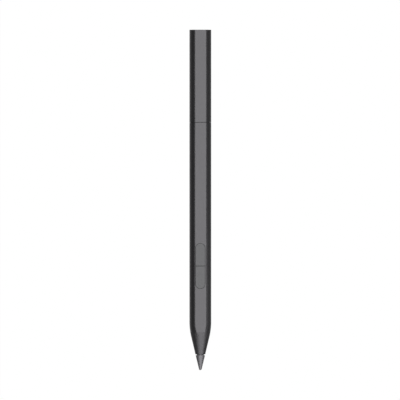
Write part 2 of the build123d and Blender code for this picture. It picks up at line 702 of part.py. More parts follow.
def port_tongue():
    """Insulator at the bottom of the port, with the contact tongue standing on it."""
    floor = PORT_BACK + PORT_SHELL_WALL
    base = port_slot(-FIXED_FIT, floor, floor + PORT_BASE_THICKNESS)
    half_length = PORT_TONGUE_LENGTH / 2
    tongue = block(
        centred(PORT_TONGUE_THICKNESS),
        (PORT_STATION - half_length, PORT_STATION + half_length),
        (floor, PORT_MOUTH - PORT_TONGUE_RECESS),
    )
    return base + tongue


def port_board():
    """Small board on edge beside the port, which it is soldered to."""
    reach = PORT_OPENING_LENGTH / 2 + PORT_SHELL_WALL
    return block(
        (PORT_BOARD_OUTSIDE, -PORT_HALF_WIDTH),
        (PORT_STATION - reach - PORT_BOARD_MARGIN, PORT_STATION + reach),
        (-PORT_BOARD_HALF_HEIGHT, PORT_BOARD_HALF_HEIGHT - PORT_LID),
    )


def light_station():
    """Place of the charge light, between the seam and the port."""
    port_start = PORT_STATION - PORT_OPENING_LENGTH / 2
    return (CAP_SEAM + port_start) / 2


def charge_light():
    """Clear peg in the sleeve's flat that shows the charging light."""
    return post(LIGHT_DIAMETER, light_station(), SLEEVE_FLAT - PORT_LID, SLEEVE_FLAT)


def detent_pocket():
    """Shallow pocket in the sleeve's back for the detent spring."""
    half = DETENT_LENGTH / 2 + LOOSE_FIT
    middle = (HOOK_STATION + SLEEVE_END) / 2
    return block(
        centred(DETENT_WIDTH + 2 * LOOSE_FIT),
        (middle - half, middle + half),
        (-BEYOND, DETENT_POCKET_DEPTH - SLEEVE_RADIUS),
    )


def detent_spring():
    """Bowed leaf in the sleeve's back, which bears on the cap's bore and holds the cap where it is put."""
    middle = (HOOK_STATION + SLEEVE_END) / 2
    foot = DETENT_POCKET_DEPTH - SLEEVE_RADIUS - STOP_GAP - DETENT_THICKNESS / 2
    crest = -sqrt((BORE_RADIUS - STOP_GAP) ** 2 - (DETENT_WIDTH / 2) ** 2) + DETENT_THICKNESS / 2
    bow = ThreePointArc(
        (middle - DETENT_LENGTH / 2, foot),
        (middle, crest),
        (middle + DETENT_LENGTH / 2, foot),
    )
    side_view = Plane(origin=(-DETENT_WIDTH / 2, 0, 0), x_dir=(0, 1, 0), z_dir=(1, 0, 0))
    return extrude(side_view * trace(bow, DETENT_THICKNESS), DETENT_WIDTH)


def tail_sleeve():
    """D-section core that plugs into the barrel, carries the port and guides the cap."""
    core = d_prism(SLEEVE_RADIUS, SLEEVE_FLAT, SLEEVE_START, SLEEVE_END)
    room_end = PORT_END + STOP_GAP
    lid_bottom = SLEEVE_FLAT - PORT_LID
    port_half = PORT_HALF_WIDTH + STOP_GAP
    core -= block((-port_half, port_half), (SLEEVE_START, room_end), (PORT_BACK - STOP_GAP, lid_bottom))
    board_half = PORT_BOARD_HALF_HEIGHT + STOP_GAP
    board_room_bottom = min(-board_half, FLEX_TOP - FLEX_HEIGHT - LOOSE_FIT)
    core -= block(
        (PORT_BOARD_OUTSIDE - FLEX_THICKNESS - STOP_GAP, 0),
        (SLEEVE_START, room_end),
        (board_room_bottom, board_half - PORT_LID),
    )
    core -= flex_channel(0, SLEEVE_START, PORT_STATION - PORT_OPENING_LENGTH / 2)
    core -= port_slot(PORT_LID_MARGIN, lid_bottom, SLEEVE_FLAT)
    core -= post(LIGHT_DIAMETER + 2 * FIXED_FIT, light_station(), lid_bottom, SLEEVE_FLAT)
    hollow = d_prism(SLEEVE_RADIUS - SLEEVE_WALL, SLEEVE_FLAT - SLEEVE_WALL, room_end + SLEEVE_WALL, SLEEVE_END)
    core -= hollow
    groove = centred(ARM_WIDTH + 2 * LOOSE_FIT)
    for side in (-1, 1):
        track = sorted((side * (ARM_INSIDE - LOOSE_FIT), side * BEYOND))
        core -= block(track, (HOOK_STATION - STOP_GAP, SLEEVE_END), groove)
        slot = sorted((0, side * BEYOND))
        core -= block(slot, (HOOK_STATION - STOP_GAP, HOOK_SLOT_END), groove)
    return core - detent_pocket()


def place(piece):
    """Lay the pen on its back with the middle of its length over the origin."""
    return Pos(0, -PEN_LENGTH / 2, BARREL_RADIUS) * piece


def pieces():
    """Every node of the pen by name."""
    form = pen_form()
    return {
        "barrel": barrel(form),
        "nose_cone": nose_cone(form),
        "guide_bush": guide_bush(),
        "tilt_electrode": tilt_electrode(),
        "sensor_housing": sensor_housing(),
        "sensor_cap": sensor_cap(),
        "sensor_pad": sensor_pad(),
        "pressure_sensor": pressure_sensor(),
        "return_spring": return_spring(),
        "chassis": chassis(),
        "main_board": main_board(),
        "board_screws": board_screws(),
        "controller_chip": controller_chip(),
        "power_chip": power_chip(),
        "antenna": antenna(),
        "front_switch": switch(FRONT_KEY_STATION),
        "rear_switch": switch(REAR_KEY_STATION),
        "sensor_flex": sensor_flex(),
        "board_connector": board_connector(),
        "flex_cable": flex_cable(),
        "battery_cell": battery_cell(),
        "battery_tabs": battery_tabs(),
        "magnet_carrier": magnet_carrier(),
        "magnets": magnets(),
        "tail_sleeve": tail_sleeve(),
        "port_shell": port_shell(),
        "port_tongue": port_tongue(),
        "port_board": port_board(),
        "charge_light": charge_light(),
        "detent_spring": detent_spring(),
        "cap_shell": cap_shell(form),
        "cap_end_plug": cap_end_plug(),
        "nib_holder": nib_holder(),
        "nib": nib(),
        "front_key": front_key(),
        "front_plunger": plunger(FRONT_KEY_STATION),
        "rear_key": rear_key(),
        "rear_plunger": plunger(REAR_KEY_STATION),
    }


os.makedirs("parts", exist_ok=True)
for name, piece in pieces().items():
    export_step(place(piece), f"parts/{name}.step")
print("nodes written:", len(os.listdir("parts")))
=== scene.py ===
# %% [markdown]
# A dark graphite stylus pen lies on white paper, flat side up, and is seen straight from above.
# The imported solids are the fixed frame: they give every size and every place. On top of them this lesson
# models the pieces that the eye rests on (barrel, cap, nose, nib, keys and the charging port under the cap)
# and gives each surface its finish.

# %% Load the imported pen
from math import acos, asin, atan2, cos, hypot, pi, radians, sin, sqrt, tan

import bmesh
import bpy
from mathutils import Matrix, Vector


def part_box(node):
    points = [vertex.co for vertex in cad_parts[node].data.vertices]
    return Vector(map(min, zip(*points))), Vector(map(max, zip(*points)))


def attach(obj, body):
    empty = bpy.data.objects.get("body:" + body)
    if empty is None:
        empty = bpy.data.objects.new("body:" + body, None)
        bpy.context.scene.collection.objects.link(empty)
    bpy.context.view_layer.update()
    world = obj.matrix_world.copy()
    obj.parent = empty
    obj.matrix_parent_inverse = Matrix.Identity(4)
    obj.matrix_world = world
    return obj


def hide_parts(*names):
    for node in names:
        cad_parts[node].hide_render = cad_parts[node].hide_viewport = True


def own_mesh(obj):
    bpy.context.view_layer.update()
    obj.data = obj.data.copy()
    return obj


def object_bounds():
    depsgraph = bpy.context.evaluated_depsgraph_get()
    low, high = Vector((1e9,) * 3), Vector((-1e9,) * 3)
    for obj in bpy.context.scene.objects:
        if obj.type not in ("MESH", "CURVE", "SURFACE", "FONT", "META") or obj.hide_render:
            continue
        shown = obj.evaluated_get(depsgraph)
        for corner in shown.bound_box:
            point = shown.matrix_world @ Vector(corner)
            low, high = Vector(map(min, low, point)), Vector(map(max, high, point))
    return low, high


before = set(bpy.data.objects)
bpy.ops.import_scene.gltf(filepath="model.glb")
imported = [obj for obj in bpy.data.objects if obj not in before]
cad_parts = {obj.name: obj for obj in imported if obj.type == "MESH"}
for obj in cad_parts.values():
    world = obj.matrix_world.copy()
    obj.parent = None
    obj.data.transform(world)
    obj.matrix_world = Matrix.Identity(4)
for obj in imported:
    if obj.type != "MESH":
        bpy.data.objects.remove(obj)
cad_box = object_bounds()
print("nodes:", len(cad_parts))

# %% [markdown]
# The pen is a round bar with one flat side, so three numbers describe its section: the radius, the height
# of the flat above the axis, and the radius of the soft edge between them. The first two are read from the
# box of the solids. The mesh work is done with the axis at height zero, and a last step lifts it into place.

# %% Sizes of the section
MM = 0.001
RADIUS = (cad_box[1].x - cad_box[0].x) / 2
AXIS_HEIGHT = cad_box[0].z + RADIUS
FLAT_HEIGHT = cad_box[1].z - AXIS_HEIGHT
FLAT_EDGE = 1.5 * MM
print(f"section: radius {RADIUS / MM:.2f} mm, flat {FLAT_HEIGHT / MM:.2f} mm above the axis")

# %% [markdown]
# One loop of the section is drawn with the tools of a lathe: a straight run for half of the flat, a short
# spin for its soft edge, a long spin for the round back, and a mirror for the other half. Where the nose is
# thinner than the flat is high, the loop is a plain circle with its points at the same places, so that any
# two loops have the same count and can be bridged. A cylinder cut by a plane would be quicker, but it leaves
# long uneven faces along the flat. Bridging keeps clean rows of four-sided ones.

# %% A loop of the section
EDGE_STEPS = 10
BACK_STEPS = 56
MERGE_DISTANCE = 0.0005 * MM
# On the plain circle, the points of the flat and of its edge end at these angles from the top.
TIP_FLAT = radians(6.4)
TIP_EDGE = radians(10)


def spin_point(bm, point, centre, axis, angle, steps):
    """Draw an arc from a point and return its last point."""
    arc = bmesh.ops.spin(bm, geom=[point], cent=centre, axis=axis, angle=angle, steps=steps)
    return [part for part in arc["geom_last"] if isinstance(part, bmesh.types.BMVert)][0]


def section_loop(bm, y, radius, height=FLAT_HEIGHT, edge=FLAT_EDGE):
    """Closed loop of the pen's section at one place along the pen."""
    before = set(bm.edges)
    centre = Vector((0, y, 0))
    along = (0, 1, 0)
    if radius > height:
        half_flat = sqrt((radius - edge) ** 2 - (height - edge) ** 2)
        turn = acos((height - edge) / (radius - edge))
        middle = bm.verts.new((0, y, height))
        run = bmesh.ops.extrude_vert_indiv(bm, verts=[middle])["verts"][0]
        run.co.x = half_flat
        run = spin_point(bm, run, (half_flat, y, height - edge), along, turn, EDGE_STEPS)
    else:
        turn = TIP_EDGE
        middle = bm.verts.new((0, y, radius))
        run = spin_point(bm, middle, centre, along, TIP_FLAT, 1)
        run = spin_point(bm, run, centre, along, TIP_EDGE - TIP_FLAT, EDGE_STEPS)
    spin_point(bm, run, centre, along, pi - turn, BACK_STEPS)
    half = [part for part in bm.edges if part not in before]
    corners = list({corner for part in half for corner in part.verts})
    bmesh.ops.mirror(bm, geom=corners + half, axis="X", merge_dist=MERGE_DISTANCE)
    return [part for part in bm.edges if part not in before]


# %% [markdown]
# A piece is a row of such loops with a skin between neighbours. Where a wall closes on itself, as on a tube
# with a bore, the last loop is joined to the first. The bridging tool is made for sizes near one and can
# twist a ring that is only millimetres wide, so the loops are enlarged for it. The volume that is printed
# shows a twist at once. The skin is merged, turned outwards and shaded smooth, and only its real corners
# stay sharp.

# %% A piece from a row of loops
SHARP_ANGLE = radians(38)


def bridge_row(bm, loops):
    """Skin neighbouring loops, and the last to the first, at one unit to the millimetre."""
    bmesh.ops.scale(bm, vec=Vector((1, 1, 1)) / MM, verts=bm.verts)
    for near, far in zip(loops, loops[1:] + loops[:1]):
        bmesh.ops.bridge_loops(bm, edges=near + far)
    bmesh.ops.scale(bm, vec=Vector((1, 1, 1)) * MM, verts=bm.verts)


def finish_mesh(bm, name, lift=AXIS_HEIGHT):
    """Merge, turn the faces outwards, lift to the axis, shade smooth and make it an object."""
    bmesh.ops.remove_doubles(bm, verts=bm.verts, dist=MERGE_DISTANCE)
    bmesh.ops.recalc_face_normals(bm, faces=bm.faces)
    bmesh.ops.translate(bm, verts=bm.verts, vec=(0, 0, lift))
    print(f"{name}: {len(bm.faces)} faces, {bm.calc_volume() / MM**3:.2f} cubic mm")
    mesh = bpy.data.meshes.new(name)
    bm.to_mesh(mesh)
    bm.free()
    mesh.shade_smooth()
    mesh.set_sharp_from_angle(angle=SHARP_ANGLE)
    piece = bpy.data.objects.new(name, mesh)
    bpy.context.scene.collection.objects.link(piece)
    return piece


def stand_for(piece, node, body):
    """Show this piece in place of one node's solid, with its flats shaded flat beside their soft edges."""
    weighted = piece.modifiers.new("flat shading", "WEIGHTED_NORMAL")
    weighted.keep_sharp = True
    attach(piece, body)
    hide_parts(node)


# %% [markdown]
# Every edge of a real machined part is broken a little, and that thin strip is what draws the line of a seam.
# Here it is a fan of loops: each goes a bit further along the pen and a bit further in, so an end is broken
# all round, flat included. Several steps make a rounding, as on the pen's tail. One step makes the plain
# chamfer of the two edges at the seam, which mirrors the dark room and so draws a finer line.

# %% Broken ends
ROUND_STEPS = 4
CHAMFER_STEPS = 1


def broken_end(bm, y, size, steps, outward):
    """Loops that break the end of the barrel's section, from the wall towards the end face."""
    loops = []
    for step in range(steps + 1):
        angle = step / steps * pi / 2
        inset = size * (1 - cos(angle))
        along = y + outward * size * (sin(angle) - 1)
        loops.append(section_loop(bm, along, RADIUS - inset, FLAT_HEIGHT - inset, FLAT_EDGE - inset))
    return loops


# %% [markdown]
# Barrel and cap are cut from one drawn tube. Its bore follows the outside, flat included, at an even wall,
# and its two long corners are nearly sharp, as a drawing tool leaves them.

# %% Bore of the tube
WALL = 0.7 * MM
BORE_EDGE = 0.1 * MM


def bore_loop(bm, y):
    """Loop of the bore that barrel and cap share."""
    return section_loop(bm, y, RADIUS - WALL, FLAT_HEIGHT - WALL, BORE_EDGE)


# %% [markdown]
# The nose tapers in a straight cone and swells into the barrel along one long arc, so softly that no edge
# shows. One function gives the radius anywhere along the pen, and both the nose and the barrel take their
# loops from it, so that the seam between them is flush.

# %% Taper and shoulder
MOUTH_RADIUS = 2.15 * MM
TAPER = radians(13.3)
SHOULDER_RADIUS = 28 * MM
barrel_low, barrel_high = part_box("barrel")
nose_low, nose_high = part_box("nose_cone")
NOSE_SEAM = barrel_low.y
CORNER = nose_low.y + (RADIUS - MOUTH_RADIUS) / tan(TAPER)
ARC_REACH = SHOULDER_RADIUS * tan(TAPER / 2)
ARC_START = CORNER - ARC_REACH * cos(TAPER)
ARC_END = CORNER + ARC_REACH


def pen_radius(y):
    """Radius of the pen's outside at a place along it: cone, shoulder or bar."""
    if y < ARC_START:
        return MOUTH_RADIUS + (y - nose_low.y) * tan(TAPER)
    if y < ARC_END:
        return RADIUS - SHOULDER_RADIUS + sqrt(SHOULDER_RADIUS**2 - (ARC_END - y) ** 2)
    return RADIUS


print(f"shoulder from {ARC_START / MM:.2f} to {ARC_END / MM:.2f} mm, seam at {NOSE_SEAM / MM:.2f} mm")

# %% [markdown]
# Both keys sit in one window of the barrel, a stadium: two half circles with straight sides. It could be a
# bevelled box, but then its ends would not be true arcs. Two spins and two edges make it exact, and the same
# half circle serves for the keys later.

# %% Stadium outline
ARC_STEPS = 32
KEY_WIDTH = 4.1 * MM
SKIRT_ALONG = 0.8 * MM
front_low, front_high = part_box("front_key")
rear_low, rear_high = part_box("rear_key")
KEYS_START = front_low.y + SKIRT_ALONG
KEYS_END = rear_high.y - SKIRT_ALONG


def round_end(bm, y, radius, height, towards):
    """Half circle in plan whose crown points along the pen, and its two end points."""
    start = bm.verts.new((towards * radius, y, height))
    return start, spin_point(bm, start, (0, y, height), (0, 0, 1), pi, ARC_STEPS)


def stadium_face(bm, margin, height):
    """Face of the keys' outline, grown by a margin."""
    radius = KEY_WIDTH / 2 + margin
    reach = KEY_WIDTH / 2
    rear_start, rear_stop = round_end(bm, KEYS_END - reach, radius, height, 1)
    front_start, front_stop = round_end(bm, KEYS_START + reach, radius, height, -1)
    bm.edges.new((rear_stop, front_start))
    bm.edges.new((front_stop, rear_start))
    return bmesh.ops.contextual_create(bm, geom=bm.edges[:])["faces"][0]


print(f"keys from {KEYS_START / MM:.2f} to {KEYS_END / MM:.2f} mm")

# %% [markdown]
# The window is cut with a punch of that outline. The punch is flared where it passes the flat, so that the
# rim comes out of the cut with a fine chamfer and needs no bevel of its own.

# %% Punch for the key window
KEY_GAP = 0.12 * MM
RIM_CHAMFER = 0.02 * MM
PUNCH_REACH = 1.2 * MM


def raise_face(bm, face, by, grow=0.0):
    """Extrude a face of the punch upwards, spread outwards by a width, and return its new top."""
    top = bmesh.ops.extrude_discrete_faces(bm, faces=[face])["faces"][0]
    bmesh.ops.translate(bm, verts=top.verts, vec=(0, 0, by))
    for corner in top.verts:
        centre_y = min(max(corner.co.y, KEYS_START + KEY_WIDTH / 2), KEYS_END - KEY_WIDTH / 2)
        away = Vector((corner.co.x, corner.co.y - centre_y, 0))
        corner.co += away.normalized() * grow
    return top


def key_punch():
    """Stadium bar, flared where it passes the flat."""
    bm = bmesh.new()
    face = stadium_face(bm, KEY_GAP, FLAT_HEIGHT - PUNCH_REACH)
    face = raise_face(bm, face, PUNCH_REACH - RIM_CHAMFER)
    raise_face(bm, face, 2 * RIM_CHAMFER, grow=2 * RIM_CHAMFER)
    bmesh.ops.holes_fill(bm, edges=bm.edges, sides=0)
    return finish_mesh(bm, "key_punch")


# %% [markdown]
# The barrel is the front length of the tube, and its rows lie close together only on the shoulder. A live
# Boolean would have to keep the punch in the scene, so the cut is made once by an exact Boolean and its
# result becomes the mesh.

# %% Barrel
SEAM_CHAMFER = 0.1 * MM
SHOULDER_STEPS = 18


def cut_by(piece, punch):
    """Cut the punch out of the piece, keep the result as its mesh and throw the punch away."""
    cut = piece.modifiers.new("window", "BOOLEAN")
    cut.operation = "DIFFERENCE"
    cut.solver = "EXACT"
    cut.object = punch
    bpy.context.view_layer.update()
    shaped = piece.evaluated_get(bpy.context.evaluated_depsgraph_get())
    result = bpy.data.meshes.new_from_object(shaped)
    piece.modifiers.remove(cut)
    piece.data = result
    bpy.data.objects.remove(punch)
    return piece


def make_barrel():
    """Tube from the nose seam to the cap seam, with the key window."""
    bm = bmesh.new()
    loops = []
    for step in range(SHOULDER_STEPS + 1):
        y = NOSE_SEAM + (ARC_END - NOSE_SEAM) * step / SHOULDER_STEPS
        loops.append(section_loop(bm, y, pen_radius(y)))
    loops += broken_end(bm, barrel_high.y, SEAM_CHAMFER, CHAMFER_STEPS, outward=1)
    loops += [bore_loop(bm, barrel_high.y), bore_loop(bm, NOSE_SEAM)]
    bridge_row(bm, loops)
    return cut_by(finish_mesh(bm, "barrel_tube"), key_punch())


stand_for(make_barrel(), "barrel", "body")

# %% [markdown]
# The cap is the rest of the same tube. It slides up along the pen to free the charging port, so it is a piece
# of its own, and its bore, which is open to view then, is modelled too. The square top edge of the pen is
# only just broken.

# %% Cap
END_ROUND = 0.07 * MM
cap_low, cap_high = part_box("cap_shell")


def make_cap():
    """Tube from the cap seam to the pen's tail."""
    bm = bmesh.new()
    loops = broken_end(bm, cap_low.y, SEAM_CHAMFER, CHAMFER_STEPS, outward=-1)[::-1]
    loops += broken_end(bm, cap_high.y, END_ROUND, ROUND_STEPS, outward=1)
    loops += [bore_loop(bm, cap_high.y), bore_loop(bm, cap_low.y)]
    bridge_row(bm, loops)
    return finish_mesh(bm, "cap_tube")


stand_for(make_cap(), "cap_shell", "cap")

# %% [markdown]
# The nose is a moulded cone, painted like the barrel. The flat runs out on it in a blunt tip, exactly where
# the cone gets thinner than the flat is high, so a few close loops follow that stretch. The mouth is rounded.

# %% Outside of the nose
MOUTH_ROUND = 0.2 * MM
TIP_RUN_UP = 0.5 * MM
TIP_STEPS = 10
FLAT_DEPTH = RADIUS - FLAT_HEIGHT
FLAT_TIP = ARC_END - sqrt(SHOULDER_RADIUS**2 - (SHOULDER_RADIUS - FLAT_DEPTH) ** 2)


def nose_loops(bm):
    """Loops over the outside of the nose, from its mouth to the seam."""
    loops = []
    for step in range(ROUND_STEPS + 1):
        angle = step / ROUND_STEPS * (pi / 2 - TAPER)
        y = nose_low.y + MOUTH_ROUND * (1 - cos(angle))
        loops.append(section_loop(bm, y, pen_radius(y) - MOUTH_ROUND * (1 - sin(angle))))
    loops.append(section_loop(bm, FLAT_TIP - TIP_RUN_UP, pen_radius(FLAT_TIP - TIP_RUN_UP)))
    loops.append(section_loop(bm, FLAT_TIP, FLAT_HEIGHT))
    for step in range(1, TIP_STEPS + 1):
        y = FLAT_TIP + (NOSE_SEAM - FLAT_TIP) * step / TIP_STEPS
        loops.append(section_loop(bm, y, pen_radius(y)))
    return loops


print(f"the flat runs out at {FLAT_TIP / MM:.2f} mm")

# %% [markdown]
# A spigot plugs the nose into the barrel. The mouth is as wide as the nib's collar needs, and behind it the
# bore has a seat for each of the three pieces that sit in it. Outside, spigot and bore could be three meshes,
# but one closed wall is a sound solid, and the pulled nib lets the eye look inside.

# %% Nose cone
MOUTH_BORE = 1.65 * MM
SEAT_GAP = 0.03 * MM
SEATED = ("sensor_housing", "tilt_electrode", "guide_bush")


def make_nose():
    """Cone, spigot and stepped bore as one closed wall."""
    bm = bmesh.new()
    loops = nose_loops(bm)
    spigot = (RADIUS - WALL - SEAT_GAP, FLAT_HEIGHT - WALL - SEAT_GAP, BORE_EDGE)
    loops.append(section_loop(bm, NOSE_SEAM, *spigot))
    loops.append(section_loop(bm, nose_high.y, *spigot))
    seat_end = nose_high.y
    for node in SEATED:
        low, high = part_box(node)
        loops.append(section_loop(bm, seat_end, high.x + SEAT_GAP))
        loops.append(section_loop(bm, low.y, high.x + SEAT_GAP))
        seat_end = low.y
    loops.append(section_loop(bm, seat_end, MOUTH_BORE))
    loops.append(section_loop(bm, nose_low.y, MOUTH_BORE))
    bridge_row(bm, loops)
    return finish_mesh(bm, "nose_taper")


stand_for(make_nose(), "nose_cone", "body")

# %% [markdown]
# The nib is turned from one outline: ball tip, straight flank, rounded base, the collar that enters the nose
# and the stem that plugs into its holder. Cones and cylinders could be joined for it, but their joints would
# need cleaning. The outline is drawn once and spun a full turn.

# %% Sizes of the nib
NIB_LENGTH = 6.5 * MM
NIB_TIP_RADIUS = 0.62 * MM
NIB_BASE_RADIUS = 2.05 * MM
NIB_COLLAR_RADIUS = 1.55 * MM
NIB_COLLAR_LENGTH = 2.0 * MM
NIB_STEM_RADIUS = 0.8 * MM
NIB_EDGE = 0.12 * MM
BASE_EDGE_STEP = NIB_EDGE / 3
STEM_EDGE = 0.24 * MM
nib_low, nib_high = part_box("nib")
NIB_RISE = NIB_LENGTH - NIB_TIP_RADIUS
FLANK = atan2(NIB_BASE_RADIUS, NIB_RISE) - asin(NIB_TIP_RADIUS / hypot(NIB_BASE_RADIUS, NIB_RISE))
print(f"nib flank leans {FLANK * 180 / pi:.1f} degrees")

# %% Nib
BALL_STEPS = 12
TURN_STEPS = 96


def draw_to(bm, last, radius, y):
    """Straight run of a turned outline, to a radius at a place along the pen."""
    point = bmesh.ops.extrude_vert_indiv(bm, verts=[last])["verts"][0]
    point.co = (radius, y, 0)
    return point


def make_nib():
    """Nib with its collar and stem."""
    bm = bmesh.new()
    base_y = nib_low.y + NIB_LENGTH
    collar_y = base_y + NIB_COLLAR_LENGTH
    ball_centre = (0, nib_low.y + NIB_TIP_RADIUS, 0)
    point = bm.verts.new((0, nib_low.y, 0))
    point = spin_point(bm, point, ball_centre, (0, 0, 1), pi / 2 - FLANK, BALL_STEPS)
    point = draw_to(bm, point, NIB_BASE_RADIUS - NIB_EDGE * tan(FLANK), base_y - NIB_EDGE)
    point = draw_to(bm, point, NIB_BASE_RADIUS - BASE_EDGE_STEP, base_y - BASE_EDGE_STEP)
    point = draw_to(bm, point, NIB_BASE_RADIUS - NIB_EDGE, base_y)
    point = draw_to(bm, point, NIB_COLLAR_RADIUS, base_y)
    point = draw_to(bm, point, NIB_COLLAR_RADIUS, collar_y - NIB_EDGE)
    point = draw_to(bm, point, NIB_COLLAR_RADIUS - NIB_EDGE, collar_y)
    point = draw_to(bm, point, NIB_STEM_RADIUS, collar_y)
    point = draw_to(bm, point, NIB_STEM_RADIUS, nib_high.y - STEM_EDGE)
    point = draw_to(bm, point, NIB_STEM_RADIUS - STEM_EDGE, nib_high.y)
    draw_to(bm, point, 0, nib_high.y)
    outline = bm.verts[:] + bm.edges[:]
    bmesh.ops.spin(
        bm, geom=outline, cent=(0, 0, 0), axis=(0, 1, 0), angle=2 * pi, steps=TURN_STEPS, use_merge=True,
    )
    return finish_mesh(bm, "nib_turned")


stand_for(make_nib(), "nib", "nib_unit")

# %% [markdown]
# The two keys share one stadium: each is a half of it, flush in the window, with a rounded rim. Under the
# wall of the barrel each spreads into a skirt that keeps it from falling out. A key starts as the outline in
# plan, is pulled down, and only then gets its rim rounded, so that the rounding has the same width all round.

# %% Keys
KEY_TOP = front_high.z - AXIS_HEIGHT
KEY_RIM = 0.05 * MM
RIM_SEGMENTS = 4
SKIRT_CLEARANCE = 0.1 * MM
SKIRT_TOP = FLAT_HEIGHT - WALL - SKIRT_CLEARANCE
SKIRT_DEPTH = 0.75 * MM
SKIRT_ACROSS = 0.75 * MM


def key_outline(bm, divider_y, crown_y, towards):
    """Face of one key in plan: straight at the divider, round at its far end."""
    reach = KEY_WIDTH / 2
    start, stop = round_end(bm, crown_y - towards * reach, reach, KEY_TOP, towards)
    ends = bmesh.ops.extrude_vert_indiv(bm, verts=[start, stop])["verts"]
    for end in ends:
        end.co.y = divider_y
    bm.edges.new(ends)
    return bmesh.ops.contextual_create(bm, geom=bm.edges[:])["faces"][0]


def make_key(name, divider_y, crown_y, towards):
    """Key with a rounded rim and the skirt that holds it in the barrel."""
    bm = bmesh.new()
    top = key_outline(bm, divider_y, crown_y, towards)
    rim = top.edges[:]
    side = bmesh.ops.extrude_face_region(bm, geom=[top], use_keep_orig=True)["geom"]
    under = [part for part in side if isinstance(part, bmesh.types.BMFace)][0]
    bmesh.ops.translate(bm, verts=under.verts, vec=(0, 0, SKIRT_TOP - KEY_TOP))
    skirt = bmesh.ops.extrude_discrete_faces(bm, faces=[under])["faces"][0]
    bmesh.ops.translate(bm, verts=skirt.verts, vec=(0, 0, -SKIRT_DEPTH))
    across = 1 + SKIRT_ACROSS / (KEY_WIDTH / 2)
    along = 1 + SKIRT_ALONG / abs(crown_y - divider_y)
    spread = Matrix.Diagonal((across, along, 1))
    about = Matrix.Translation((0, -divider_y, 0))
    bmesh.ops.transform(bm, verts=skirt.verts, matrix=spread, space=about)
    bmesh.ops.bevel(
        bm, geom=rim, offset=KEY_RIM, offset_type="OFFSET", affect="EDGES",
        segments=RIM_SEGMENTS, profile=0.5, material=-1,
    )
    return finish_mesh(bm, name)


front_key = make_key("front_key_cap", front_high.y, KEYS_START, -1)
stand_for(front_key, "front_key", "front_button")
rear_key = make_key("rear_key_cap", rear_low.y, KEYS_END, 1)
stand_for(rear_key, "rear_key", "rear_button")

# %% [markdown]
# Slid up, the cap shows the tail sleeve with the charging port, and its own plug shows at the pen's tail.
# The solids of these pieces have the right shape but knife edges. Drawing them again would gain nothing, so a
# copy of each is merged into clean faces, and its sharp edges get a small bevel, as a mould or a press leaves
# them.

# %% Softened copies of the moulded and pressed pieces
KNIFE_ANGLE = radians(35)
FLAT_ANGLE = radians(0.5)
SOFT_SEGMENTS = 3
SLEEVE_EDGE = 0.05 * MM
PLUG_EDGE = 0.08 * MM
SHELL_EDGE = 0.1 * MM
SMALL_EDGE = 0.06 * MM


def softened(node, body, width):
    """Copy of a node's solid with its sharp edges rounded, shown in its place."""
    bm = bmesh.new()
    bm.from_mesh(bpy.data.objects[node].data)
    bmesh.ops.remove_doubles(bm, verts=bm.verts, dist=MERGE_DISTANCE)
    bmesh.ops.dissolve_limit(bm, angle_limit=FLAT_ANGLE, verts=bm.verts, edges=bm.edges)
    sharp = [edge for edge in bm.edges if edge.is_manifold and edge.calc_face_angle() > KNIFE_ANGLE]
    bmesh.ops.bevel(
        bm, geom=sharp, offset=width, offset_type="OFFSET", affect="EDGES",
        segments=SOFT_SEGMENTS, profile=0.5, material=-1, clamp_overlap=True,
    )
    piece = finish_mesh(bm, node + "_soft", lift=0)
    stand_for(piece, node, body)
    return piece


softened("tail_sleeve", "body", SLEEVE_EDGE)
softened("cap_end_plug", "cap", PLUG_EDGE)
softened("port_shell", "body", SHELL_EDGE)
softened("port_tongue", "body", SMALL_EDGE)
softened("charge_light", "body", SMALL_EDGE)

# %% [markdown]
# Two pieces give way when the nib is pressed: the return spring gets shorter, and the silicone pad between
# the push rod and the pressure sensor gets thinner. Here each is a softened copy with a mesh of its own.

# %% Pieces that give way
WIRE_EDGE = 0.04 * MM
PAD_EDGE = 0.05 * MM


def gives_way(node, width):
    """Softened copy of a node's solid, with a mesh of its own."""
    piece = softened(node, "body", width)
    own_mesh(piece)


gives_way("return_spring", WIRE_EDGE)
gives_way("sensor_pad", PAD_EDGE)

# %% [markdown]
# The tongue of the port carries two rows of gold-plated contacts. They could be painted on, but real ones
# stand proud and catch the light at their edges. One strip is drawn and bevelled, then copied along the
# tongue and mirrored to its other side.

# %% Port contacts
CONTACT_COUNT = 12
CONTACT_PITCH = 0.5 * MM
CONTACT_WIDTH = 0.25 * MM
CONTACT_PROUD = 0.02 * MM
CONTACT_INSET = 0.35 * MM
TONGUE_HALF = 0.35 * MM
BASE_THICKNESS = 1.0 * MM
tongue_low, tongue_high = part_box("port_tongue")


